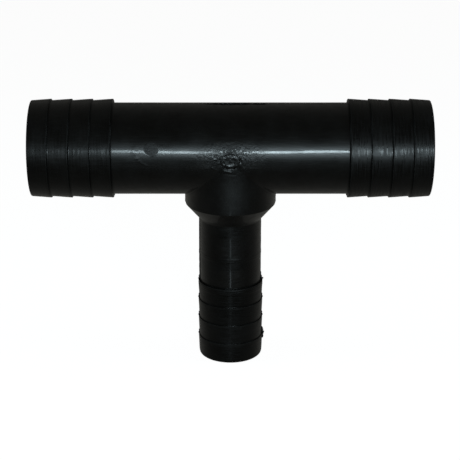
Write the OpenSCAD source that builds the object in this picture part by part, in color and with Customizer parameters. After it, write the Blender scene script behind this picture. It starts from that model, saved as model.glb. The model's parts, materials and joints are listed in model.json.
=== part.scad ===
// Barbed reducing tee for flexible irrigation hose.
// The run lies along X, the smaller branch points down along -Z and the moulding gate faces -Y.
// The origin is the point where the run's axis and the branch's axis cross. Millimetres throughout.
// The real fitting is one moulding. Each module below is one region of it, closed on all sides,
// and the regions meet face to face without overlapping.

/* [Run] */
// Overall length of the run, from end to end
run_length = 161; // [150:1:190]
// Outside diameter of the plain run tube
run_tube_d = 37; // [35:0.5:37.5]
// Diameter over the crests of the run's barbs
run_crest_d = 40; // [39.5:0.1:41]
// Diameter of the run's waterway
run_bore_d = 31; // [26:0.5:32]
// Number of barbs on each end of the run
run_barbs = 4; // [2:1:5]
// Distance from one run barb to the next
run_pitch = 8.35; // [7:0.05:9]
// How much longer the outermost run barb is than the others, below 0 if it is shorter
run_lead_extra = -0.4; // [-1:0.1:2]

/* [Branch] */
// Distance from the run's axis to the branch's open end
branch_reach = 90; // [84:1:110]
// Outside diameter of the plain branch tube
branch_tube_d = 25.2; // [24:0.1:26]
// Diameter over the crests of the branch's barbs
branch_crest_d = 26.7; // [26.5:0.1:27.5]
// Diameter of the branch's waterway
branch_bore_d = 20; // [16:0.5:21]
// Number of barbs on the branch
branch_barbs = 4; // [2:1:5]
// Distance from one branch barb to the next
branch_pitch = 8.2; // [7:0.1:8.5]
// How much longer the outermost branch barb is than the others, below 0 if it is shorter
branch_lead_extra = 0.5; // [-1:0.1:2]

/* [Reducer] */
// How much slimmer the collar is than the run tube, on the diameter
collar_relief = 0.1; // [0.1:0.1:3]
// Distance from the run's axis to the collar's lower edge
collar_drop = 22.7; // [20:0.1:26]
// Length of the cone between the collar and the branch tube
cone_length = 6.7; // [5:0.1:9]

/* [Barbs] */
// Length of the true cylinder at the top of each barb
crest_land = 0.8; // [0.4:0.1:1.5]
// How far a run barb falls from its crest to the foot of its ramp, on the radius
run_ramp_drop = 0.58; // [0.3:0.02:0.8]
// How far a branch barb falls from its crest to the foot of its ramp, on the radius
branch_ramp_drop = 0.34; // [0.2:0.02:0.5]
// Bevel round the outer edge of each open end of the run
run_nose = 0.6; // [0.3:0.1:1]
// Bevel round the outer edge of the branch's open end
branch_nose = 0.9; // [0.3:0.1:1.2]
// Bevel round the mouth of each waterway
mouth_bevel = 0.5; // [0.2:0.1:0.8]

/* [Gate mark] */
// Diameter of the trimmed gate on the front of the run tube
gate_d = 7.5; // [4:0.5:9]
// How far the trimmed gate stands proud of the tube
gate_height = 0.3; // [0.1:0.1:0.6]

/* [Hidden] */
$fn = 96;

run_r = run_tube_d / 2;
run_crest_r = run_crest_d / 2;
run_bore_r = run_bore_d / 2;
branch_r = branch_tube_d / 2;
branch_crest_r = branch_crest_d / 2;
branch_bore_r = branch_bore_d / 2;
collar_r = run_r - collar_relief / 2;

run_tail_length = run_barbs * run_pitch + run_lead_extra;
branch_tail_length = branch_barbs * branch_pitch + branch_lead_extra;
run_tail_start = run_length / 2 - run_tail_length;
branch_tail_start = branch_reach - branch_tail_length;
cone_end = collar_drop + cone_length;

// Cutting solids run this far past the faces they cut
past = 1;
plastic = [0.06, 0.06, 0.062];

// Outline of one barb, from its crest down its ramp to the foot of the next one
function barb_outline(start, foot, crest_r, drop) = [
    [crest_r, start],
    [crest_r, start + crest_land],
    [crest_r - drop, foot]
];

// Half section of a hose tail, with the tee at height 0 and the open end at the top
module tail_section(barbs, pitch, length, bore_r, crest_r, drop, nose) {
    last = barbs - 1;
    lead = barb_outline(last * pitch, length - nose, crest_r, drop);
    polygon(concat(
        [[bore_r, 0]],
        [for (i = [0 : 1 : last - 1]) each barb_outline(i * pitch, (i + 1) * pitch, crest_r, drop)],
        lead,
        [
            [crest_r - drop - nose, length],
            [bore_r + mouth_bevel, length],
            [bore_r, length - mouth_bevel]
        ]
    ));
}

// Hose tail turned about Z
module hose_tail(barbs, pitch, length, bore_r, crest_r, drop, nose) {
    rotate_extrude()
        tail_section(barbs, pitch, length, bore_r, crest_r, drop, nose);
}

module run_hose_tail() {
    hose_tail(
        run_barbs,
        run_pitch,
        run_tail_length,
        run_bore_r,
        run_crest_r,
        run_ramp_drop,
        run_nose
    );
}

// Cylinder along X, centred on the origin
module along_run(radius, length) {
    rotate([0, 90, 0])
        cylinder(r = radius, h = length, center = true);
}

// Waterway of the branch, from the middle of the run down to the given depth
module branch_waterway(depth) {
    translate([0, 0, -depth])
        cylinder(r = branch_bore_r, h = depth);
}

// Round stub left where the gate was trimmed, wrapped to the curve of the tube
module gate_stub() {
    intersection() {
        rotate([90, 0, 0])
            cylinder(d = gate_d, h = run_tube_d);
        along_run(run_r + gate_height, gate_d + 2 * past);
    }
}

module run_tube() {
    color(plastic)
        difference() {
            union() {
                along_run(run_r, 2 * run_tail_start);
                gate_stub();
            }
            along_run(run_bore_r, run_length);
            branch_waterway(run_tube_d);
        }
}

module left_hose_tail() {
    color(plastic)
        translate([-run_tail_start, 0, 0])
            rotate([0, -90, 0])
                run_hose_tail();
}

module right_hose_tail() {
    color(plastic)
        translate([run_tail_start, 0, 0])
            rotate([0, 90, 0])
                run_hose_tail();
}

// Short stub as wide as the run, saddled onto its underside
module branch_collar() {
    color(plastic)
        difference() {
            translate([0, 0, -collar_drop])
                cylinder(r = collar_r, h = collar_drop);
            along_run(run_r, run_length);
            gate_stub();
            branch_waterway(collar_drop + past);
        }
}

// Shoulder that brings the collar down to the size of the branch tube
module reducer_cone() {
    color(plastic)
        difference() {
            translate([0, 0, -cone_end])
                cylinder(r1 = branch_r, r2 = collar_r, h = cone_length);
            branch_waterway(cone_end + past);
        }
}

module branch_tube() {
    color(plastic)
        difference() {
            translate([0, 0, -branch_tail_start])
                cylinder(r = branch_r, h = branch_tail_start - cone_end);
            branch_waterway(branch_tail_start + past);
        }
}

module branch_hose_tail() {
    color(plastic)
        translate([0, 0, -branch_tail_start])
            rotate([180, 0, 0])
                hose_tail(
                    branch_barbs,
                    branch_pitch,
                    branch_tail_length,
                    branch_bore_r,
                    branch_crest_r,
                    branch_ramp_drop,
                    branch_nose
                );
}

run_tube();
left_hose_tail();
right_hose_tail();
branch_collar();
reducer_cone();
branch_tube();
branch_hose_tail();
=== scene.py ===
"""Visual model of a barbed reducing hose tee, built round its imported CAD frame.

The run lies along X, the branch hangs down -Z and the trimmed gate faces -Y. Shapes are worked
out in millimetres and become metres when a mesh is made. Every outer surface is an exact cylinder,
cone or rolling-ball fillet, carried by quads, and then pushed out or in along its own normal by
relief(), which adds what moulding leaves behind: the gate, ejector marks, flash and tool rings.
"""

import json
import math

import bmesh
import bpy
import numpy as np
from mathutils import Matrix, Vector
from mathutils.kdtree import KDTree


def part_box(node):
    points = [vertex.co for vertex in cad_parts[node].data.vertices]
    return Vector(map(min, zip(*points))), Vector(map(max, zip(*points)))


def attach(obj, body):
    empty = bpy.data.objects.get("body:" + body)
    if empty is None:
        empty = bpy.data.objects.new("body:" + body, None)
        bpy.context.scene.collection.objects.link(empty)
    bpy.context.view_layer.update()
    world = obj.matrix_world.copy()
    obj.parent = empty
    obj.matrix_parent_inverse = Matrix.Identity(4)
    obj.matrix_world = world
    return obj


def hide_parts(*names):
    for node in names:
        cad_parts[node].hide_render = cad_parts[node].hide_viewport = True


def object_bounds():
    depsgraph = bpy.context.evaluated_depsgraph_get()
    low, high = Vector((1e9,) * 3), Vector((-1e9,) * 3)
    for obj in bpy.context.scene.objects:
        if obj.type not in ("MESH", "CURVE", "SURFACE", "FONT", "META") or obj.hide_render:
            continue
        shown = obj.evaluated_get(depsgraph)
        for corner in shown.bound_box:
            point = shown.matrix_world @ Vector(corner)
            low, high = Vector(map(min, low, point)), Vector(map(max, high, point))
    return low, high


MM = 0.001
FRONT, REAR, BOTTOM = -90.0, 90.0, 0.0

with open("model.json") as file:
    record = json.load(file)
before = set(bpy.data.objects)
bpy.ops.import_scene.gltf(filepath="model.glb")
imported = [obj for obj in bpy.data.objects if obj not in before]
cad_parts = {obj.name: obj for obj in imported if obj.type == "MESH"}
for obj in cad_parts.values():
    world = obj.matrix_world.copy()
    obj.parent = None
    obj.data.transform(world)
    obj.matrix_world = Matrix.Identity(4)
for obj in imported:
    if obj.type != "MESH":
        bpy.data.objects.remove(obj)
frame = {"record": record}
cad_low, cad_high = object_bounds()
mounts = {m["name"]: m for m in frame["record"]["mounts"]}


def box_mm(node):
    """Lowest and highest corner of a CAD node, in millimetres."""
    low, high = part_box(node)
    return low / MM, high / MM


def radius_mm(mount):
    return mounts[mount]["dims"]["r_mm"]


# ---------------------------------------------------------------- driving dimensions, millimetres

RUN_HALF = cad_high.x / MM
RUN_R = box_mm("run_tube")[1].z
RUN_BORE_R = radius_mm("run_bore")
RUN_CREST_R = radius_mm("right_hose")
RUN_TAIL_AT = box_mm("right_hose_tail")[0].x

COLLAR_R = box_mm("branch_collar")[1].x
COLLAR_AT = -box_mm("branch_collar")[0].z
CONE_END = -box_mm("reducer_cone")[0].z
BRANCH_R = box_mm("branch_tube")[1].x
BRANCH_BORE_R = radius_mm("branch_bore")
BRANCH_CREST_R = radius_mm("branch_hose")
BRANCH_TAIL_AT = -box_mm("branch_tube")[0].z
BRANCH_REACH = -cad_low.z / MM

# The plain tubes stop this far short of the first barb, so that its root fillet is part of the tail
TAIL_OVERLAP = 0.6
RUN_JOIN = RUN_TAIL_AT - TAIL_OVERLAP
BRANCH_JOIN = BRANCH_TAIL_AT - TAIL_OVERLAP

# Barbs on each hose tail, and the length of the cylinder at the top of each CAD barb
BARBS = 4
LAND = mounts["right_hose"]["dims"]["length_mm"]


def pitch_of(outer_crest_mm, tail_at):
    """Barb spacing, from where the outermost crest's land is centred."""
    return (outer_crest_mm - LAND / 2 - tail_at) / (BARBS - 1)


RUN_PITCH = pitch_of(mounts["right_hose"]["pos_m"][0] / MM, RUN_TAIL_AT)
BRANCH_PITCH = pitch_of(-mounts["branch_hose"]["pos_m"][2] / MM, BRANCH_TAIL_AT)
# How far a barb falls from its crest to the foot of its ramp, on the radius, as in the CAD
RUN_RAMP_DROP = 0.58
BRANCH_RAMP_DROP = 0.34

# Radii of fillets and rounded edges
SADDLE_FILLET = 1.2
COLLAR_ROUND = 0.3
CONE_FILLET = 0.9
LIP_ROUND = 0.06
RUN_FOOT_ROUND = 0.5
BRANCH_FOOT_ROUND = 0.25
RUN_NOSE_ROUND = 0.2
BRANCH_NOSE_ROUND = 1.2
MOUTH_ROUND = 0.5

# ---------------------------------------------------------------- mesh spacing

# Round an axis, in degrees: everywhere, then how far each kind of mark reaches and the spacing there
TURN_STEP = 2.2
AT_PARTING_LINE = (0.8, 0.22)
AT_BRANCH_PARTING_LINE = (0.8, 0.25)
AT_GATE = (14.0, 0.6)
ABOVE_GATE = (8.0, 0.6)
AT_BACK = (8.0, 0.9)
AT_EJECTOR = (7.0, 0.7)
# Along an axis, in millimetres, in the same form
RUN_STEP = 1.1
RUN_BORE_STEP = 2.5
BRANCH_STEP = 0.3
BARB_STEP = 0.17
TAIL_BORE_STEP = 2.0
ACROSS_GATE = (7.0, 0.18)
ACROSS_EJECTOR = (2.0, 0.22)
AT_RUN_JOIN = (0.3, 0.15)
AT_BRANCH_JOIN = (0.2, 0.12)
AT_BRANCH_HOLE = (1.0, 0.8)
# The mesh round the branch's hole in the run bore reaches to this far short of the bore's radius
BORE_MARGIN = 0.6
# Rows of faces: across a hidden joint and each end of the run tube, round the branch's hole and
# through its wall, up the saddle's fillet, down the cone, and down each part of the branch's waterway
JOINT_ROWS = 4
RUN_END_ROWS = 3
HOLE_ROWS = 6
FILLET_ROWS = 9
CONE_ROWS = 14
COLLAR_BORE_ROWS, CONE_BORE_ROWS, BRANCH_BORE_ROWS = 8, 4, 16
# Up the collar's side, as shares of its height, and near the saddle in the same form
COLLAR_STEP = 0.035
AT_SADDLE = (0.22, 0.009)
# Largest turn between two points of a rounded edge, in degrees
ARC_TURN = 15
# Vertices closer than this are one, in metres
WELD = 1e-6

# ---------------------------------------------------------------- marks of moulding, millimetres

# Gate: its centre, its radius, the factor that makes it wider than high, how far its face stands
# proud, and how far from its centre the plastic is disturbed
GATE_CENTRE = (-0.05, 0.15)
GATE_R = 3.35
GATE_FLATTEN = 0.88
GATE_PROUD = 0.27
MARK_REACH = 7.8
# Facets that lean back, as (centre, size, lean): across the torn face, on its right and beside it
TORN_FACETS = (
    ((0.6, 1.75), (1.9, 0.5), 0.32),
    ((-2.5, -1.4), (0.42, 0.9), 0.38),
    ((-1.8, -1.9), (0.3, 0.5), 0.3),
    ((0.3, -1.1), (1.5, 1.2), 0.13),
)
GATE_LIP = ((3.8, -0.8), (0.35, 1.4), 0.45)
LOOSE_LUMPS = (((-6.0, 1.0), (0.5, 0.4), 0.25), ((-2.6, 1.9), (0.4, 0.5), 0.25))
# Plastic dragged down and to the left, then the dips under it, as (start, end, width, height)
GATE_CHIPS = (
    ((-7.2, -2.8), (-4.8, -4.2), 0.45, 0.14),
    ((-2.9, -3.9), (0.0, -4.7), 0.45, 0.12),
    ((-6.0, -4.4), (-4.2, -5.1), 0.45, -0.06),
    ((-2.4, -5.1), (1.6, -5.6), 0.5, -0.05),
)

# Ejector marks: radius, distance from the middle of the run, degrees above level, and the one low
# on the branch's back
EJECTOR_R = 2.8
EJECTOR_X = 31.2
EJECTOR_UP = 15.2
BACK_EJECTOR_Z = -38.0
# Added to the distance of a mark that is on the other side of the fitting
FAR = 99.0

# Flash on the parting line: stretches, as (start, stop, fade, height), then heights that hold along
# the branch tube's left side, along the underside with the collar and cone, and all round
TOP_FLASH = ((-9, 13.5, 1.5, 0.32), (-3.5, 7, 1.0, 0.3))
NUB_UNDER_RUN = ((34.2, 35.3, 0.5, 0.55), (30.5, 36, 0.8, 0.15))
BRANCH_RIGHT_FLASH = ((-BRANCH_TAIL_AT, -53.8, 0.5, 0.2), (-83.6, -79.0, 0.5, 0.6))
BARB_ROOTS = [-BRANCH_TAIL_AT - barb * BRANCH_PITCH for barb in range(BARBS)]
BARB_SPURS = [(root, root + 1.3, 0.4, 0.28) for root in BARB_ROOTS]
BRANCH_LEFT_FIN = 0.4
UNDERSIDE_FLASH = 0.11
THIN_TRACE = 0.05
FLASH_WIDTH = 0.12
# Noise along the flash, as (feature size, seed)
FLASH_COARSE, FLASH_FINE = (1.6, 21), (0.5, 22)

# Where the branch has a ring of its own, and the noise places that keep each tail's rings different
BRANCH_RINGS = (-44.0, -44.9, -57.5, -58.3, -59.1)
BRANCH_NOISE_AT, RUN_NOISE_AT = 40, 20

# Noise in relief, as (height, feature size, seed) layers
GATE_EDGE_NOISE = ((0.2, 0.55, 11), (0.1, 0.2, 12))
TORN_NOISE = ((0.05, 1.1, 13), (0.035, 0.6, 14))
SCRAPED_NOISE = ((0.05, 0.8, 19),)
TRACE_NOISE = ((0.02, 3.0, 23),)
RING_NOISE = ((0.012, 0.85, 31), (0.007, 0.45, 32))
CREST_NOISE = ((0.012, 3.0, 42),)
SUNK_NOISE = ((0.018, 11.0, 51), (0.006, 4.0, 52))
EJECTOR_NOISE = ((0.02, 0.7, 61),)

# ---------------------------------------------------------------- finish and studio

DEEP_BLACK = (0.0030, 0.0028, 0.0025, 1)
DUSTY_BLACK = (0.0095, 0.0095, 0.009, 1)
# How much rougher the plastic is where each of PlasticTree's fields is 1
ROUGHER_BY = {"marked": 0.05, "inside": 0.08, "matt": 0.05, "wear": 0.12, "pinned": 0.2}

FLOOR_HALF = 4.0
FLOOR_COLOUR = (1, 1, 1, 1)
FLOOR_GLOW = 0.95
FLOOR_PAINT = (0.3, 0.3, 0.3, 1)
ROOM_NEAR = (0.036, 0.036, 0.033, 1)
ROOM_FAR = (0.080, 0.080, 0.074, 1)
ROOM_LOW = (0.155, 0.155, 0.142, 1)

# Camera: lens and sensor in millimetres, place in metres, and how far above level it stands and how
# far down it looks, in degrees
LENS, SENSOR = 118.6, 36
CAMERA_X = -0.0002
CAMERA_AWAY = 0.6159
CAMERA_RISE = 16.9
CAMERA_PITCH = 19.99
LIGHT_COLOUR = (0.80, 0.98, 1.05)
# Soft lights that keep their place by the camera: centre, in metres right of it, above it and
# behind it; width and height; radiance
SOFT_LIGHTS = {
    "key_far_left": ((-0.165, -0.104, 0), (0.11, 0.055), 2.5),
    "key_left": ((-0.055, -0.104, 0), (0.11, 0.055), 15),
    "key": ((0.05, -0.104, 0), (0.10, 0.055), 29),
    "key_right": ((0.2, -0.104, 0), (0.20, 0.055), 11),
    "low": ((0, -0.387, -0.235), (0.04, 0.14), 0.5),
    "side_left": ((-0.55, 0.28, -0.46), (0.4, 0.25), 1.2),
    "side_right": ((0.55, 0.28, -0.46), (0.4, 0.25), 1.2),
}


# ---------------------------------------------------------------- sampling and paths


def graded(start, stop, coarse, spots):
    """Sample places from start to stop, coarse apart, and closer near each (place, reach, fine) spot."""
    line = np.linspace(start, stop, 6001)
    spacing = np.full(line.shape, float(coarse))
    for place, reach, fine in spots:
        away = np.clip((np.abs(line - place) - reach) / (2.5 * reach), 0, 1)
        spacing = np.minimum(spacing, fine + (coarse - fine) * away)
    density = np.concatenate([[0], np.cumsum((1 / spacing[1:] + 1 / spacing[:-1]) / 2 * np.diff(line))])
    count = max(2, math.ceil(density[-1]))
    return np.interp(np.linspace(0, density[-1], count + 1), density, line)


def rounded_path(corners, step=math.inf):
    """Points along a polyline of (radius, place, rounding) corners, each corner turned into an arc.

    Straight stretches get points no more than a step apart.
    """
    spots = [np.array(c[:2], float) for c in corners]
    points = [spots[0]]
    for before, here, after, rounding in zip(spots, spots[1:], spots[2:], [c[2] for c in corners[1:]]):
        into, out = before - here, after - here
        into, out = into / np.linalg.norm(into), out / np.linalg.norm(out)
        half = math.acos(max(-1.0, min(1.0, float(into @ out)))) / 2
        cut = rounding / math.tan(half)
        centre = here + (into + out) / np.linalg.norm(into + out) * rounding / math.sin(half)
        first, last = here + into * cut - centre, here + out * cut - centre
        turn = math.pi - 2 * half
        arcs = max(2, math.ceil(turn / math.radians(ARC_TURN)))
        for k in range(arcs + 1):
            t = k / arcs
            spoke = math.sin((1 - t) * turn) * first + math.sin(t * turn) * last
            points.append(centre + spoke / math.sin(turn))
    points.append(spots[-1])
    path = [points[0]]
    for a, b in zip(points, points[1:]):
        pieces = max(1, math.ceil(np.linalg.norm(b - a) / step))
        path += [a + (b - a) * (k + 1) / pieces for k in range(pieces)]
    return np.array(path)


# Angles run round the branch from FRONT by its right-hand side, at 0, to REAR, and round the run
# from FRONT by its underside, BOTTOM, to REAR
HALF_TURN = graded(
    FRONT, REAR, TURN_STEP, [(FRONT, *AT_GATE), (BOTTOM, *AT_BRANCH_PARTING_LINE), (REAR, *AT_BACK)]
)
ROUND_BRANCH = np.radians(np.concatenate([HALF_TURN, 180 - HALF_TURN[-2:0:-1], [270]]))
OVER_FRONT = graded(
    -180,
    FRONT,
    TURN_STEP,
    [(-180, *AT_PARTING_LINE), (FRONT, *AT_GATE), (FRONT - AT_GATE[0], *ABOVE_GATE)],
)
OVER_REAR = graded(REAR, 180, TURN_STEP, [(REAR + EJECTOR_UP, *AT_EJECTOR), (180, *AT_PARTING_LINE)])
TAIL_TURN = np.radians(
    graded(-180, 180, TURN_STEP, [(turn, *AT_PARTING_LINE) for turn in (-180, BOTTOM, 180)])
)


def on_run(x, turn, radius):
    """Points on a cylinder about X. Angle 0 is the underside and -90 degrees the front."""
    x, turn, radius = np.broadcast_arrays(x, turn, radius)
    return np.stack([x, radius * np.sin(turn), -radius * np.cos(turn)], -1)


def round_branch(radius, z):
    """Grid of rings about Z, one per (radius, z), each closed."""
    radius, z = np.atleast_1d(radius)[:, None], np.atleast_1d(z)[:, None]
    turn = ROUND_BRANCH[None, :]
    return np.stack([radius * np.cos(turn), radius * np.sin(turn), z + 0 * turn], -1)


def between(a, b, steps):
    """Grid that runs straight from curve a to curve b."""
    t = np.linspace(0, 1, steps + 1)[:, None, None]
    return a[None] * (1 - t) + b[None] * t


# ---------------------------------------------------------------- the run tube and its outlet


def outlet(reach, squeeze):
    """The closed curve x = reach cos, sin(angle) = squeeze sin on a cylinder about X, as (x, angle)."""
    return reach * np.cos(ROUND_BRANCH), np.arcsin(squeeze * np.sin(ROUND_BRANCH))


def tube_grids(radius, reach, squeeze, columns):
    """Grids of a cylinder about X with an outlet curve left open, split into left, right and top."""
    right = np.radians(HALF_TURN)
    edge_x, edge_turn = reach * np.cos(right), np.arcsin(squeeze * np.sin(right))
    tip = float(edge_turn[-1])
    grids = []
    for side in (1, -1):
        x = edge_x[:, None] + (RUN_JOIN - edge_x[:, None]) * columns[None, :]
        grids.append(on_run(side * x, edge_turn[:, None], radius))
    for angles, first, last in ((OVER_FRONT, -math.pi, -tip), (OVER_REAR, tip, math.pi)):
        share = (angles - angles[0]) / (angles[-1] - angles[0])
        turn = first + (last - first) * share
        for side in (1, -1):
            grids.append(on_run(side * RUN_JOIN * columns[None, :], turn[:, None], radius))
    return grids


def saddle_sizes():
    """How far the fillet's edge on the run stands from the branch's axis, and how it is squeezed."""
    reach = COLLAR_R + SADDLE_FILLET
    return reach, reach / (RUN_R + SADDLE_FILLET)


def hole_edge(cylinder_r):
    """Where the branch's waterway cuts a cylinder about X."""
    x, turn = outlet(BRANCH_BORE_R, BRANCH_BORE_R / cylinder_r)
    return on_run(x, turn, cylinder_r)


def on_run_between(reach, squeeze, hole_reach, hole_squeeze, radius, steps):
    """Part of a cylinder about X between two outlet curves."""
    x0, turn0 = outlet(reach, squeeze)
    x1, turn1 = outlet(hole_reach, hole_squeeze)
    t = np.linspace(0, 1, steps + 1)[:, None]
    return on_run(x0 + (x1 - x0) * t, turn0 + (turn1 - turn0) * t, radius)


def seat_under_collar():
    """The patch of the run tube that the collar sits on, hidden in the joint between them."""
    return on_run_between(*saddle_sizes(), BRANCH_BORE_R, BRANCH_BORE_R / RUN_R, RUN_R, HOLE_ROWS)


def run_tube():
    """Outer tube and bore with the branch's opening in both, and the hidden ends and collar seat."""
    marks = [(0, *ACROSS_GATE), (EJECTOR_X, *ACROSS_EJECTOR), (RUN_JOIN, *AT_RUN_JOIN)]
    columns = graded(0, RUN_JOIN, RUN_STEP, marks) / RUN_JOIN
    outer = tube_grids(RUN_R, *saddle_sizes(), columns)
    margin = RUN_BORE_R - BORE_MARGIN
    bore_columns = graded(0, RUN_JOIN, RUN_BORE_STEP, [(0, *AT_BRANCH_HOLE)]) / RUN_JOIN
    bore = tube_grids(RUN_BORE_R, margin, margin / RUN_BORE_R, bore_columns)
    hole = (BRANCH_BORE_R, BRANCH_BORE_R / RUN_BORE_R)
    around_hole = on_run_between(margin, margin / RUN_BORE_R, *hole, RUN_BORE_R, HOLE_ROWS)
    wall = between(hole_edge(RUN_BORE_R), hole_edge(RUN_R), HOLE_ROWS)
    ends = [between(a[:, -1], b[:, -1], RUN_END_ROWS) for a, b in zip(outer, bore)]
    return [*outer, *bore, around_hole, wall], [*ends, seat_under_collar()]


# ---------------------------------------------------------------- the branch


def collar_bottom():
    """Arc from the cone up to the collar's side, as (radius, z), with its ends on the true surfaces."""
    corners = [
        (BRANCH_R, -CONE_END, 0),
        (COLLAR_R, -COLLAR_AT, COLLAR_ROUND),
        (COLLAR_R, -RUN_R, 0),
    ]
    return rounded_path(corners)[1:-1]


def cone_bottom():
    """Arc from the cone in to the branch tube, as (radius, z)."""
    corners = [
        (COLLAR_R, -COLLAR_AT, 0),
        (BRANCH_R, -CONE_END, CONE_FILLET),
        (BRANCH_R, -BRANCH_JOIN, 0),
    ]
    return rounded_path(corners)[1:-1]


def saddle_fillet(steps):
    """Rolling-ball fillet from the collar's side out to the run tube."""
    reach, _ = saddle_sizes()
    x, y = reach * np.cos(ROUND_BRANCH), reach * np.sin(ROUND_BRANCH)
    z = -np.sqrt((RUN_R + SADDLE_FILLET) ** 2 - y**2)
    centre = np.stack([x, y, z], -1)
    to_collar = np.stack([-np.cos(ROUND_BRANCH), -np.sin(ROUND_BRANCH), 0 * z], -1)
    to_run = np.stack([0 * x, -y, -z], -1) / (RUN_R + SADDLE_FILLET)
    turn = np.arccos(np.clip((to_collar * to_run).sum(-1), -1, 1))[:, None]
    rows = []
    for t in np.linspace(0, 1, steps + 1):
        spoke = (np.sin((1 - t) * turn) * to_collar + np.sin(t * turn) * to_run) / np.sin(turn)
        rows.append(centre + SADDLE_FILLET * spoke)
    return np.array(rows)


def branch_collar():
    bottom = collar_bottom()
    fillet = saddle_fillet(FILLET_ROWS)
    rows = graded(0, 1, COLLAR_STEP, [(1, *AT_SADDLE)])[:, None, None]
    side_foot = round_branch(*bottom[-1])[0]
    side = side_foot[None] * (1 - rows) + fillet[0][None] * rows
    seam_z = bottom[0][1]
    bore_foot = round_branch(BRANCH_BORE_R, seam_z)[0]
    shown = [
        round_branch(bottom[:, 0], bottom[:, 1]),
        side,
        fillet,
        between(bore_foot, hole_edge(RUN_R), COLLAR_BORE_ROWS),
    ]
    hidden = [between(round_branch(*bottom[0])[0], bore_foot, JOINT_ROWS), seat_under_collar()]
    return shown, hidden


def reducer_cone():
    top, foot = collar_bottom()[0], cone_bottom()[0]
    outer = [round_branch(*top)[0], round_branch(*foot)[0]]
    bore = [round_branch(BRANCH_BORE_R, top[1])[0], round_branch(BRANCH_BORE_R, foot[1])[0]]
    shown = [between(*outer, CONE_ROWS), between(*bore, CONE_BORE_ROWS)]
    hidden = [between(a, b, JOINT_ROWS) for a, b in zip(outer, bore)]
    return shown, hidden


def branch_tube():
    arc = cone_bottom()
    marks = [(-BRANCH_JOIN, *AT_BRANCH_JOIN), (BACK_EJECTOR_Z, *ACROSS_EJECTOR)]
    places = graded(-BRANCH_JOIN, arc[-1][1], BRANCH_STEP, marks)
    side = round_branch(np.full(places.shape, BRANCH_R), places)
    outer = [round_branch(*arc[0])[0], side[0]]
    bore = [round_branch(BRANCH_BORE_R, arc[0][1])[0], round_branch(BRANCH_BORE_R, -BRANCH_JOIN)[0]]
    shown = [round_branch(arc[:, 0], arc[:, 1]), side, between(*bore, BRANCH_BORE_ROWS)]
    hidden = [between(a, b, JOINT_ROWS) for a, b in zip(outer, bore)]
    return shown, hidden


# ---------------------------------------------------------------- hose tails


def tail_path(root_r, crest_r, bore_r, drop, pitch, length, foot_round, nose):
    """Section of a hose tail from its root on the tube, over the barbs and back down the bore."""
    corners = [(root_r, -TAIL_OVERLAP, 0), (root_r, 0, foot_round)]
    for barb in range(BARBS):
        start = barb * pitch
        foot = length if barb == BARBS - 1 else start + pitch
        corners.append((crest_r, start, LIP_ROUND))
        corners.append((crest_r - drop, foot, nose if foot == length else foot_round))
    end = ((crest_r + bore_r) / 2, length, 0)
    outer = rounded_path([*corners, end], BARB_STEP)
    mouth = [end, (bore_r, length, MOUTH_ROUND), (bore_r, -TAIL_OVERLAP, 0)]
    inner = rounded_path(mouth, TAIL_BORE_STEP)
    return np.concatenate([outer, inner[1:]])


def run_hose_tail(side):
    length = RUN_HALF - RUN_TAIL_AT
    path = tail_path(
        RUN_R,
        RUN_CREST_R,
        RUN_BORE_R,
        RUN_RAMP_DROP,
        RUN_PITCH,
        length,
        RUN_FOOT_ROUND,
        RUN_NOSE_ROUND,
    )
    x = side * (RUN_TAIL_AT + path[:, 1])
    grid = on_run(x[:, None], TAIL_TURN[None, :], path[:, :1])
    return [grid], [between(grid[0], grid[-1], JOINT_ROWS)]


def left_hose_tail():
    return run_hose_tail(-1)


def right_hose_tail():
    return run_hose_tail(1)


def branch_hose_tail():
    length = BRANCH_REACH - BRANCH_TAIL_AT
    path = tail_path(
        BRANCH_R,
        BRANCH_CREST_R,
        BRANCH_BORE_R,
        BRANCH_RAMP_DROP,
        BRANCH_PITCH,
        length,
        BRANCH_FOOT_ROUND,
        BRANCH_NOSE_ROUND,
    )
    grid = round_branch(path[:, 0], -(BRANCH_TAIL_AT + path[:, 1]))
    return [grid], [between(grid[0], grid[-1], JOINT_ROWS)]


# ---------------------------------------------------------------- what moulding leaves behind


def ramp(value, start, stop):
    """0 at start and beyond it, 1 at stop and beyond it, with a smooth rise in between."""
    t = np.clip((value - start) / (stop - start), 0, 1)
    return t * t * (3 - 2 * t)


def bump(value, centre, width):
    """1 at centre, falling smoothly to nearly 0 one and a half widths away."""
    return np.exp(-(((value - centre) / width) ** 2))


def noise(points, size, seed):
    """Smooth seeded noise from -1 to 1, with features about size across."""
    table = np.random.default_rng(seed).uniform(-1, 1, (32, 32, 32))
    spot = np.asarray(points) / size
    cell = np.floor(spot).astype(int)
    part = spot - cell
    part = part * part * (3 - 2 * part)
    total = 0
    for corner in np.ndindex(2, 2, 2):
        share = np.where(corner, part, 1 - part).prod(-1)
        total = total + share * table[tuple(((cell + corner) % 32).T)]
    return total


def roughened(points, layers):
    """Sum of (height, feature size, seed) layers of noise."""
    return sum(height * noise(points, size, seed) for height, size, seed in layers)


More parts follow.
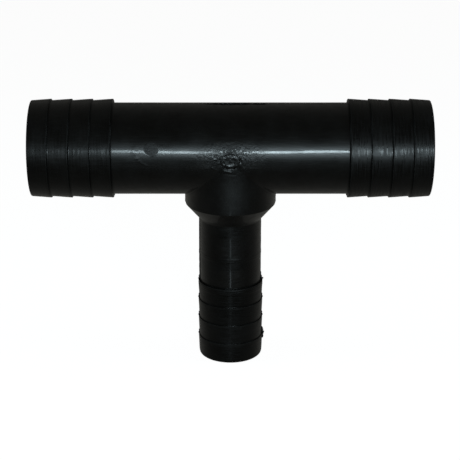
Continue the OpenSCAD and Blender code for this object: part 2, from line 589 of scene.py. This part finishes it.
class Skin:
    """Places on the fitting, in millimetres, with what relief() and the material need to know of them."""

    def __init__(self, points):
        self.points = points
        self.x, self.y, self.z = points.T
        self.from_run = np.hypot(self.y, self.z)
        self.from_branch = np.hypot(self.x, self.y)
        in_run_bore = self.from_run < RUN_BORE_R + 1.0
        in_branch_bore = (self.from_branch < BRANCH_BORE_R + 0.9) & (self.z < 0)
        self.inside = in_run_bore | in_branch_bore
        on_run_tail = np.abs(self.x) > RUN_TAIL_AT + 1e-3
        on_branch_tail = self.z < -BRANCH_TAIL_AT - 1e-3
        self.on_branch = self.z < -RUN_CREST_R - 1
        at_run_end = np.abs(self.x) > RUN_HALF - 1e-2
        at_branch_end = self.z < -BRANCH_REACH + 1e-2
        self.outer = ~(self.inside | at_run_end | at_branch_end)
        self.on_tail = on_run_tail | on_branch_tail
        self.on_front = self.y < 0
        self.radius = np.where(self.on_branch, self.from_branch, self.from_run)
        self.crest_r = np.where(self.on_branch, BRANCH_CREST_R, RUN_CREST_R)

    def along_tail(self):
        """Distance from the root of whichever tail the place is on."""
        run = np.abs(self.x) - RUN_TAIL_AT
        return np.where(self.on_branch, -self.z - BRANCH_TAIL_AT, run)

    def turn(self):
        """Angle round the axis of the tube or tail that the place is on."""
        return np.where(self.on_branch, np.arctan2(self.y, self.x), np.arctan2(self.y, -self.z))


def streak(x, z, start, stop, width):
    """1 along the line between two places, fading out across the width."""
    run = np.subtract(stop, start)
    along = np.clip(((x - start[0]) * run[0] + (z - start[1]) * run[1]) / (run @ run), 0, 1)
    return bump(np.hypot(x - start[0] - along * run[0], z - start[1] - along * run[1]), 0, width)


def facet(x, z, at, size, lean):
    """A chip of the surface that leans back, so that it catches a light above it."""
    across, up = (x - at[0]) / size[0], (z - at[1]) / size[1]
    return -lean * (z - at[1]) * np.exp(-(across**2) - up**2)


def torn_face(x, z, away):
    """Height of the gate's cut and torn face above the tube."""
    torn = roughened(np.stack([x, z, 0 * x], -1), TORN_NOISE) - 0.1 * ramp(away, 2.4, 1.5)
    return GATE_PROUD + torn + sum(facet(x, z, *place) for place in TORN_FACETS)


def round_gate(x, z, away, moat):
    """Height of the plastic beside the gate: chips and dips, lumps, a moat, scrapes and a halo above."""
    chips = sum(height * streak(x, z, *place) for *place, height in GATE_CHIPS)
    lumps = sum(facet(x, z, *place) for place in LOOSE_LUMPS)
    scraped = roughened(np.stack([x, z, 0 * x], -1), SCRAPED_NOISE) * ramp(away, 7.0, 4.0)
    halo = 0.035 * bump(away, 6.0, 0.9) * ramp(z, 0.5, 3.5)
    return chips - moat + lumps + scraped * ramp(z, -2.5, -1.0) + halo


def gate(skin):
    """Sprue stub cut off flat and torn in the middle, with chips of plastic dragged down to the left."""
    x, z = skin.x - GATE_CENTRE[0], skin.z - GATE_CENTRE[1]
    away = np.hypot(x * GATE_FLATTEN, z / GATE_FLATTEN)
    angle = np.arctan2(z, x)
    way = np.stack([np.cos(angle), np.sin(angle), 0 * angle], -1)
    edge = GATE_R + roughened(way, GATE_EDGE_NOISE)
    pad = ramp(away, edge + 0.1, edge - 0.25)
    low_left = ramp(np.cos(angle + 2.1), 0.0, 0.7)
    moat = 0.07 * ramp(away, edge + 0.9, edge + 0.1) * low_left
    face, beside = torn_face(x, z, away), round_gate(x, z, away, moat)
    return pad * face + (1 - pad) * beside + facet(x, z, *GATE_LIP)


def near_gate(skin):
    """1 where the gate and the plastic it disturbed are, 0 well away from them."""
    return skin.on_front * ramp(np.hypot(skin.x, skin.z), MARK_REACH + 1, MARK_REACH)


def pin_mark(skin):
    """Shallow, coarse disc where an ejector pin met the plastic, and part of a ring round the front one."""
    away = from_pins(skin)
    coarse = 0.03 + roughened(skin.points, EJECTOR_NOISE)
    disc = ramp(away, EJECTOR_R + 0.2, EJECTOR_R - 0.4) * coarse
    low_outside = ramp(np.abs(skin.x), EJECTOR_X, EJECTOR_X + 3) * ramp(skin.z, 7, 5)
    ring = 0.07 * bump(away, 2.4 * EJECTOR_R, 0.28) * low_outside * skin.on_front
    return ring - disc


def from_pins(skin):
    """Distance to the nearest ejector mark, of which one is in front, on the left of the run.

    At the back there is a pair on the run and one on the branch.
    """
    round_run = RUN_R * (np.arctan2(skin.z, np.abs(skin.y)) - math.radians(EJECTOR_UP))
    front = np.hypot(skin.x + EJECTOR_X, round_run) + FAR * (skin.y > 0)
    rear = np.hypot(np.abs(skin.x) - EJECTOR_X, round_run) + FAR * skin.on_front
    low = np.hypot(skin.x, skin.z - BACK_EJECTOR_Z) + FAR * skin.on_front
    return np.minimum(np.minimum(front, rear), low)


def ridge(skin, height, width):
    """Sharp line standing along the mould's parting plane, y = 0."""
    return height * ramp(np.abs(skin.y), width, 0)


def span(place, start, stop, fade):
    """1 from start to stop, fading to 0 over the fade at both ends."""
    return ramp(place, start - fade, start) * ramp(place, stop + fade, stop)


def fins(place, stretches):
    """Height of flash in (start, stop, fade, height) stretches along a line."""
    return sum(height * span(place, *stretch) for *stretch, height in stretches)


def flash(skin):
    """Plastic that crept into the mould's parting line: a thin trace, with torn fins in a few places."""
    line = np.stack([skin.x, skin.z, 0 * skin.x], -1)
    coarse = noise(line, *FLASH_COARSE)
    ragged = 0.75 + 0.35 * coarse + 0.25 * noise(line, *FLASH_FINE)
    top, left, low = skin.z > 0, skin.x < 0, skin.z < -CONE_END
    on_left_of_tube = low & left & (skin.z > -BRANCH_TAIL_AT)
    height = THIN_TRACE + roughened(line, TRACE_NOISE)
    height += top * fins(skin.x, TOP_FLASH) * ragged
    height += ~top * fins(skin.x, NUB_UNDER_RUN) * ragged
    height += (low & ~left) * fins(skin.z, BRANCH_RIGHT_FLASH) * ragged
    height += (~top & ~low) * UNDERSIDE_FLASH * (1 + 0.5 * coarse)
    height += on_left_of_tube * BRANCH_LEFT_FIN * (0.95 + 0.1 * coarse)
    height += low * fins(skin.z, BARB_SPURS)
    return ridge(skin, height, FLASH_WIDTH)


def tool_rings(skin):
    """Turning marks of the mould, round the hose tails and the branch."""
    tail_noise_at = np.where(skin.on_branch, BRANCH_NOISE_AT, np.sign(skin.x) * RUN_NOISE_AT)
    line = np.stack([skin.along_tail(), skin.turn() * 0.35, tail_noise_at], -1)
    fine = roughened(line, RING_NOISE)
    on_tube = (skin.z < -CONE_END) & (skin.from_branch > BRANCH_R - 0.1)
    joins = sum(bump(skin.z, place, 0.3) for place in BRANCH_RINGS)
    return np.where(skin.on_tail, fine, 0.4 * fine * on_tube) + 0.08 * joins * on_tube


def worn_crests(skin):
    """Nicks in the sharp edge of each barb."""
    near = skin.on_tail * ramp(skin.radius, skin.crest_r - 0.25, skin.crest_r)
    line = np.stack([skin.radius * skin.turn(), skin.along_tail() * 0.6, 0 * skin.x], -1)
    nicks = ramp(noise(line, 1.3, 41), 0.35, 0.9)
    return near * (roughened(line, CREST_NOISE) - 0.05 * nicks)


def in_barb_step(skin):
    """1 on the step up to a barb's crest, in the shadow of the barb, and less at the branch's front."""
    pitch = np.where(skin.on_branch, BRANCH_PITCH, RUN_PITCH)
    phase = skin.along_tail() / pitch
    off_step = np.abs(phase - np.clip(np.round(phase), 0, BARBS - 1)) * pitch
    below_crest = ramp(skin.radius, skin.crest_r + 0.02, skin.crest_r - 0.08)
    facing_front = skin.on_branch * ramp(-skin.y, 0.75 * BRANCH_CREST_R, BRANCH_CREST_R)
    return skin.outer * bump(off_step, 0, 0.55) * below_crest * (1 - 0.4 * facing_front)


def branch_sheen(skin):
    """How glossy the branch tube is, 1 being usual, in patches down the middle of its front."""
    upper = 2.0 * span(skin.z, -42.0, -35.5, 1.5)
    lower = 4.2 * span(skin.z, -56.0, -49.5, 1.5)
    below_cone = ramp(skin.z, -36.0, -34.5)
    middle = skin.on_front * (skin.z < -CONE_END) * ramp(np.abs(skin.x), 7.0, 2.5)
    return 1 + middle * (upper + lower - 0.9 * below_cone)


def relief(skin):
    """Height, in millimetres, that the real surface stands above the ideal one."""
    sunk = roughened(skin.points, SUNK_NOISE)
    step_at_parting_line = 0.025 * ramp(skin.y, -0.02, 0.02)
    marks = near_gate(skin) * gate(skin) + pin_mark(skin)
    left_by_mould = flash(skin) + tool_rings(skin) + worn_crests(skin)
    return skin.outer * (sunk + step_at_parting_line + marks + left_by_mould)


# ---------------------------------------------------------------- meshes


class Piece:
    """One closed mesh, whose hidden faces lie in the joint with a neighbour."""

    def __init__(self, name, shown, hidden):
        self.name = name
        bm = bmesh.new()
        flag = bm.faces.layers.int.new("hidden")
        for grid, value in [(g, 0) for g in shown] + [(g, 1) for g in hidden]:
            self.add_grid(bm, grid, flag, value)
        bmesh.ops.remove_doubles(bm, verts=bm.verts, dist=WELD)
        bmesh.ops.recalc_face_normals(bm, faces=bm.faces)
        self.mesh = bpy.data.meshes.new(name)
        bm.to_mesh(self.mesh)
        bm.free()
        self.points = read(self.mesh.vertices, "co", 3) / MM
        self.mesh.calc_loop_triangles()
        face = read(self.mesh.loop_triangles, "polygon_index", 1, int)
        hidden_face = read(self.mesh.attributes["hidden"].data, "value", 1, int) > 0
        triangles = read(self.mesh.loop_triangles, "vertices", 3, int)
        self.triangles = triangles[~hidden_face[face]]
        self.in_joint = np.zeros(len(self.points), bool)
        self.in_joint[triangles[hidden_face[face]].ravel()] = True
        self.mesh.attributes.remove(self.mesh.attributes["hidden"])

    @staticmethod
    def add_grid(bm, grid, flag, value):
        rows = [[bm.verts.new(p) for p in row] for row in (grid * MM).tolist()]
        for a, b in zip(rows, rows[1:]):
            for k in range(len(a) - 1):
                bm.faces.new((a[k], a[k + 1], b[k + 1], b[k]))[flag] = value

    def face_sums(self):
        """Area-weighted sum of the shown faces' normals at each vertex."""
        a, b, c = (self.points[self.triangles[:, k]] for k in range(3))
        cross = np.cross(b - a, c - a)
        total = np.zeros_like(self.points)
        for k in range(3):
            for axis in range(3):
                weights = np.bincount(self.triangles[:, k], cross[:, axis], len(total))
                total[:, axis] += weights
        return total


def read(items, name, width, kind=float):
    """A collection's values as an array, with one row per item when width is above 1."""
    values = np.empty(len(items) * width, kind)
    items.foreach_get(name, values)
    return values.reshape(-1, width) if width > 1 else values


def smooth_normals(pieces):
    """Normals of each piece, the same on both sides of every joint."""
    sums = [piece.face_sums() for piece in pieces]
    joints = [(i, v) for i, piece in enumerate(pieces) for v in np.flatnonzero(piece.in_joint)]
    tree = KDTree(len(joints))
    for index, (i, v) in enumerate(joints):
        tree.insert(pieces[i].points[v], index)
    tree.balance()
    shared = [s.copy() for s in sums]
    for i, v in joints:
        near = tree.find_range(pieces[i].points[v], WELD / MM * 3)
        shared[i][v] = sum(sums[joints[n][0]][joints[n][1]] for _, n, _ in near)
    lengths = [np.maximum(np.linalg.norm(s, axis=1, keepdims=True), 1e-12) for s in shared]
    return [s / length for s, length in zip(shared, lengths)]


def worn(skin):
    """1 on the barbs' crests and at the open ends, where handling greys the plastic."""
    run_ends = ramp(np.abs(skin.x), RUN_HALF - 0.5, RUN_HALF)
    branch_end = ramp(-skin.z, BRANCH_REACH - 0.5, BRANCH_REACH)
    crests = skin.on_tail * ramp(skin.radius, skin.crest_r - 0.05, skin.crest_r)
    return np.maximum(crests, np.maximum(run_ends, branch_end))


def scuffed(skin):
    """1 round the gate, in an area wider than high, save for one small glossy spot up and to the right."""
    away = np.hypot((skin.x - 0.5) / 2.1, skin.z - 1.5)
    glossy = bump(np.hypot(skin.x - 4.7, skin.z - 4.6), 0, 0.7)
    return skin.on_front * ramp(away, 9.0, 3.5) * (1 - glossy)


def dulled(skin):
    """1 on the ejector marks, and less just above the gate."""
    over_gate = skin.on_front * bump(skin.x, -0.3, 3.2) * span(skin.z, 3.4, 7.0, 1.0)
    return np.maximum(ramp(from_pins(skin), EJECTOR_R + 0.3, EJECTOR_R - 0.3), 0.75 * over_gate)


def describe_surface(mesh, skin):
    """Writes the vertex attributes that steer the material."""
    on_branch_tube = (skin.z < -CONE_END - 1) & skin.outer
    values = {
        "wear": worn(skin),
        "scuff": scuffed(skin),
        "pinned": dulled(skin),
        "rings": np.where(skin.on_tail & skin.outer, 1.0, 0.7 * on_branch_tube),
        "matt": ramp(-skin.z, 5, 13) * ramp(np.abs(skin.x), 28, 20),
        "shaded": in_barb_step(skin),
        "sheen": branch_sheen(skin),
        "along": skin.along_tail(),
        "turn": skin.turn(),
        "inside": skin.inside,
    }
    for name, value in values.items():
        layer = mesh.attributes.new(name, "FLOAT", "POINT")
        layer.data.foreach_set("value", np.asarray(value, np.float32))


def finish_meshes(pieces):
    """Adds the relief, then one continuous set of normals and the material's attributes."""
    normals = smooth_normals(pieces)
    for piece, normal in zip(pieces, normals):
        skin = Skin(piece.points)
        describe_surface(piece.mesh, skin)
        joint_inside = np.linalg.norm(normal, axis=1) < 0.5
        height = np.where(joint_inside, 0, relief(skin))
        piece.points = piece.points + normal * height[:, None]
    for piece, normal in zip(pieces, smooth_normals(pieces)):
        piece.mesh.vertices.foreach_set("co", (piece.points * MM).ravel())
        piece.mesh.polygons.foreach_set("use_smooth", [True] * len(piece.mesh.polygons))
        piece.mesh.update()
        piece.mesh.normals_split_custom_set_from_vertices(normal)


# ---------------------------------------------------------------- materials


def add(tree, kind, inputs=(), **settings):
    """New node, with its settings and its inputs set or linked."""
    made = tree.nodes.new(kind)
    for name, value in settings.items():
        setattr(made, name, value)
    for socket, value in dict(inputs).items():
        if isinstance(value, bpy.types.NodeSocket):
            tree.links.new(value, made.inputs[socket])
        else:
            made.inputs[socket].default_value = value
    return made


def mix(tree, share, first, second):
    """First value where share is 0, second where it is 1."""
    return add(tree, "ShaderNodeMix", {0: share, 2: first, 3: second}).outputs[0]


def mix_colour(tree, share, first, second):
    inputs = {0: share, 6: first, 7: second}
    return add(tree, "ShaderNodeMix", inputs, data_type="RGBA").outputs[2]


def maths(tree, operation, *values):
    inputs = dict(enumerate(values))
    return add(tree, "ShaderNodeMath", inputs, operation=operation).outputs[0]


def total(tree, first, *others):
    for value in others:
        first = maths(tree, "ADD", first, value)
    return first


def product(tree, first, *others):
    for value in others:
        first = maths(tree, "MULTIPLY", first, value)
    return first


def rescale(tree, value, low, high, to_low, to_high, kind="LINEAR"):
    """Maps low to high onto to_low to to_high, and holds the ends beyond."""
    inputs = {0: value, 1: low, 2: high, 3: to_low, 4: to_high}
    return add(tree, "ShaderNodeMapRange", inputs, interpolation_type=kind).outputs[0]


def grain(tree, where, size, detail, stretch=(1, 1, 1)):
    """Noise with features about size millimetres across, between 0 and 1."""
    scaled = add(tree, "ShaderNodeVectorMath", {0: where, 1: [s / size for s in stretch]})
    scaled.operation = "MULTIPLY"
    inputs = {"Vector": scaled.outputs[0], "Scale": 1.0, "Detail": detail}
    return add(tree, "ShaderNodeTexNoise", inputs).outputs["Fac"]


def millimetres(tree):
    """Place on the object, in millimetres."""
    place = add(tree, "ShaderNodeTexCoord").outputs["Object"]
    inputs = {0: place, "Scale": 1 / MM}
    return add(tree, "ShaderNodeVectorMath", inputs, operation="SCALE").outputs[0]


class PlasticTree:
    """Node tree with what the plastic's colour, roughness, coat and height all draw on.

    Each of describe_surface()'s attributes is a field of the same name.
    """

    ATTRIBUTES = ("wear", "scuff", "pinned", "rings", "matt", "shaded", "sheen", "along", "turn", "inside")

    def __init__(self, tree):
        self.tree = tree
        for name in self.ATTRIBUTES:
            node = add(tree, "ShaderNodeAttribute", attribute_name=name)
            setattr(self, name, node.outputs["Fac"])
        self.where = millimetres(tree)
        self.blotch = grain(tree, self.where, 9.0, 3.0)
        self.speck = grain(tree, self.where, 0.7, 3.0)
        self.scratch = grain(tree, self.where, 0.5, 2.0, (0.07, 1, 1))
        axes = {0: self.along, 1: self.turn}
        self.round_tube = add(tree, "ShaderNodeCombineXYZ", axes).outputs[0]
        self.turning = grain(tree, self.round_tube, 0.55, 1.5, (1, 1.4, 1))
        self.marked = product(tree, self.scuff, rescale(tree, self.speck, 0.4, 0.65, 0.25, 1.0))


def plastic_colour(skin):
    """Deep black, greyed by haze, dust, wear and scuffs."""
    tree = skin.tree
    haze = rescale(tree, skin.blotch, 0.35, 0.75, 0.0, 0.45)
    dust = rescale(tree, skin.speck, 0.58, 0.78, 0.0, 0.5)
    grey = total(tree, haze, dust, product(tree, skin.wear, 0.5), skin.marked)
    return mix_colour(tree, maths(tree, "MINIMUM", grey, 1.0), DEEP_BLACK, DUSTY_BLACK)


def plastic_roughness(skin, roughness, streaks):
    """Patchy and scratched, streaked where the mould was turned, rougher where it is marked."""
    tree = skin.tree
    patchy = rescale(tree, skin.blotch, 0.3, 0.7, roughness - 0.03, roughness + 0.05)
    scratched = rescale(tree, skin.scratch, 0.45, 0.75, 0.0, 0.08)
    streaked = product(tree, skin.rings, rescale(tree, skin.turning, 0.35, 0.65, streaks, -streaks))
    extra = [product(tree, getattr(skin, name), amount) for name, amount in ROUGHER_BY.items()]
    return total(tree, patchy, scratched, streaked, *extra)


def plastic_coat(skin, gloss, streaks):
    """Waxy sheen, broken by scuffs and ejector marks, with glints on the turning rings."""
    tree = skin.tree
    polish = rescale(tree, grain(tree, skin.where, 2.5, 2.0), 0.35, 0.6, 0.7, 1.2)
    rubbed = rescale(tree, grain(tree, skin.where, 0.9, 2.0), 0.45, 0.65, 0.05, 1.0)
    dulled_here = rescale(tree, skin.pinned, 0.0, 1.0, 1.0, 0.05)
    shine = product(tree, mix(tree, skin.scuff, 1.0, rubbed), polish, skin.sheen, gloss, dulled_here)
    glints = product(tree, skin.rings, rescale(tree, skin.turning, 0.5, 0.64, 0.0, 1.5 * streaks))
    return product(tree, total(tree, shine, glints), rescale(tree, skin.shaded, 0.0, 1.0, 1.0, 0.0))


def plastic_bump(skin, ring_depth):
    """Fine grain and scratches, pits in the marks and turning rings, with heights in millimetres."""
    tree = skin.tree
    pitted = maths(tree, "MAXIMUM", skin.scuff, product(tree, skin.pinned, 0.6))
    turned = grain(tree, skin.round_tube, 0.28, 2.0, (1, 0.15, 1))
    height = total(
        tree,
        product(tree, grain(tree, skin.where, 0.35, 2.0), 0.005),
        product(tree, skin.speck, 0.006),
        product(tree, skin.scratch, 0.0012),
        product(tree, pitted, grain(tree, skin.where, 1.0, 4.0), 0.16),
        product(tree, skin.rings, turned, ring_depth),
    )
    inputs = {"Height": height, "Distance": MM, "Strength": 1.0}
    return add(tree, "ShaderNodeBump", inputs).outputs[0]


def black_plastic(name, gloss, roughness, ring_depth, streaks):
    """Moulded black polyethylene: deep black, waxy sheen, dusty haze and dull, greyed edges."""
    material = bpy.data.materials.new(name)
    material.use_nodes = True
    tree = material.node_tree
    tree.nodes.clear()
    skin = PlasticTree(tree)
    inputs = {
        "Base Color": plastic_colour(skin),
        "Roughness": plastic_roughness(skin, roughness, streaks),
        "IOR": 1.5,
        "Specular IOR Level": rescale(tree, skin.shaded, 0.0, 1.0, 0.5, 0.08),
        "Coat Weight": plastic_coat(skin, gloss, streaks),
        "Coat Roughness": 0.07,
        "Normal": plastic_bump(skin, ring_depth),
    }
    shader = add(tree, "ShaderNodeBsdfPrincipled", inputs)
    add(tree, "ShaderNodeOutputMaterial", {"Surface": shader.outputs[0]})
    return material


def floor_material():
    """Pale floor that the camera sees nearly white, and that vanishes when seen from below."""
    material = bpy.data.materials.new("pale_floor")
    material.use_nodes = True
    tree = material.node_tree
    tree.nodes.clear()
    glow = add(tree, "ShaderNodeEmission", {"Color": FLOOR_COLOUR, "Strength": FLOOR_GLOW})
    paint = add(tree, "ShaderNodeBsdfDiffuse", {"Color": FLOOR_PAINT})
    both = add(tree, "ShaderNodeAddShader", {0: glow.outputs[0], 1: paint.outputs[0]})
    clear = add(tree, "ShaderNodeBsdfTransparent")
    below = add(tree, "ShaderNodeNewGeometry").outputs["Backfacing"]
    side = add(tree, "ShaderNodeMixShader", {0: below, 1: both.outputs[0], 2: clear.outputs[0]})
    add(tree, "ShaderNodeOutputMaterial", {"Surface": side.outputs[0]})
    return material


# ---------------------------------------------------------------- studio


def studio_floor():
    bm = bmesh.new()
    bmesh.ops.create_grid(bm, x_segments=1, y_segments=1, size=FLOOR_HALF)
    mesh = bpy.data.meshes.new("studio_floor")
    bm.to_mesh(mesh)
    bm.free()
    floor = bpy.data.objects.new("studio_floor", mesh)
    floor.location.z = cad_low.z
    floor.visible_glossy = False
    floor.visible_diffuse = False
    floor.visible_shadow = False
    mesh.materials.append(floor_material())
    bpy.context.scene.collection.objects.link(floor)


def studio_world():
    """White to the camera, and a dim soft room to the object, a little lighter from below."""
    world = bpy.data.worlds.new("studio")
    world.use_nodes = True
    tree = world.node_tree
    tree.nodes.clear()
    way = add(tree, "ShaderNodeTexCoord").outputs["Generated"]
    to_lens = {"vector_type": "VECTOR", "convert_from": "WORLD", "convert_to": "CAMERA"}
    from_lens = add(tree, "ShaderNodeVectorTransform", {0: way}, **to_lens).outputs[0]
    ahead = add(tree, "ShaderNodeSeparateXYZ", {0: from_lens}).outputs[2]
    upward = add(tree, "ShaderNodeSeparateXYZ", {0: way}).outputs[2]
    far = rescale(tree, ahead, -0.5, 0.5, 0.0, 1.0)
    beyond = rescale(tree, ahead, 0.0, 0.8, 0.0, 1.0, "SMOOTHSTEP")
    under = rescale(tree, upward, 0.1, -0.3, 0.0, 1.0)
    straight_below = rescale(tree, upward, -0.3, -1.0, 1.0, 0.25)
    low = product(tree, beyond, under, straight_below)
    room = mix_colour(tree, low, mix_colour(tree, far, ROOM_NEAR, ROOM_FAR), ROOM_LOW)
    soft = add(tree, "ShaderNodeBackground", {0: room, 1: 1.0})
    white = add(tree, "ShaderNodeBackground", {0: (1, 1, 1, 1), 1: 1.0})
    seen = add(tree, "ShaderNodeLightPath").outputs["Is Camera Ray"]
    both = add(tree, "ShaderNodeMixShader", {0: seen, 1: soft.outputs[0], 2: white.outputs[0]})
    add(tree, "ShaderNodeOutputWorld", {"Surface": both.outputs[0]})
    bpy.context.scene.world = world


def studio_camera():
    data = bpy.data.cameras.new("camera")
    data.sensor_width = SENSOR
    data.lens = LENS
    camera = bpy.data.objects.new("camera", data)
    rise = math.radians(CAMERA_RISE)
    camera.location = (CAMERA_X, -CAMERA_AWAY * math.cos(rise), CAMERA_AWAY * math.sin(rise))
    camera.rotation_euler = (math.radians(90 - CAMERA_PITCH), 0, 0)
    bpy.context.scene.collection.objects.link(camera)
    bpy.context.scene.camera = camera
    return camera


def soft_light(camera, name, place, size, radiance):
    """Rectangular light aimed at the fitting, with the same glints from whichever side it is seen."""
    data = bpy.data.lights.new(name, "AREA")
    data.shape = "RECTANGLE"
    data.size, data.size_y = size
    data.energy = radiance * math.pi * data.size * data.size_y
    data.color = LIGHT_COLOUR
    light = bpy.data.objects.new(name, data)
    light.parent = camera
    light.location = place
    back_from_fitting = Vector(place) - Vector((0, 0, -CAMERA_AWAY))
    light.rotation_euler = back_from_fitting.to_track_quat("Z", "Y").to_euler()
    bpy.context.scene.collection.objects.link(light)


# ---------------------------------------------------------------- the scene

SHAPES = {
    "run_tube": run_tube,
    "left_hose_tail": left_hose_tail,
    "right_hose_tail": right_hose_tail,
    "branch_collar": branch_collar,
    "reducer_cone": reducer_cone,
    "branch_tube": branch_tube,
    "branch_hose_tail": branch_hose_tail,
}

# Gloss of the coat, roughness, depth of the turning rings in millimetres and strength of their streaks
RUN_PLASTIC = black_plastic("black_plastic_run", 0.41, 0.29, 0.012, 0.09)
PLASTICS = {
    "run_tube": RUN_PLASTIC,
    "left_hose_tail": black_plastic("black_plastic_left_barbs", 0.22, 0.28, 0.004, 0.035),
    "right_hose_tail": black_plastic("black_plastic_right_barbs", 0.02, 0.31, 0.006, 0.085),
    "branch_collar": RUN_PLASTIC,
    "reducer_cone": RUN_PLASTIC,
    "branch_tube": black_plastic("black_plastic_branch", 0.25, 0.25, 0.004, 0.06),
    "branch_hose_tail": black_plastic("black_plastic_branch_barbs", 0.06, 0.25, 0.004, 0.06),
}
pieces = [Piece(name, *shape()) for name, shape in SHAPES.items()]
finish_meshes(pieces)
for piece in pieces:
    made = bpy.data.objects.new("moulded_" + piece.name, piece.mesh)
    bpy.context.scene.collection.objects.link(made)
    piece.mesh.materials.append(PLASTICS[piece.name])
    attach(made, "root")
    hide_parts(piece.name)

studio_floor()
studio_world()
camera = studio_camera()
for name, settings in SOFT_LIGHTS.items():
    soft_light(camera, name, *settings)
bpy.context.scene.view_settings.view_transform = "Standard"
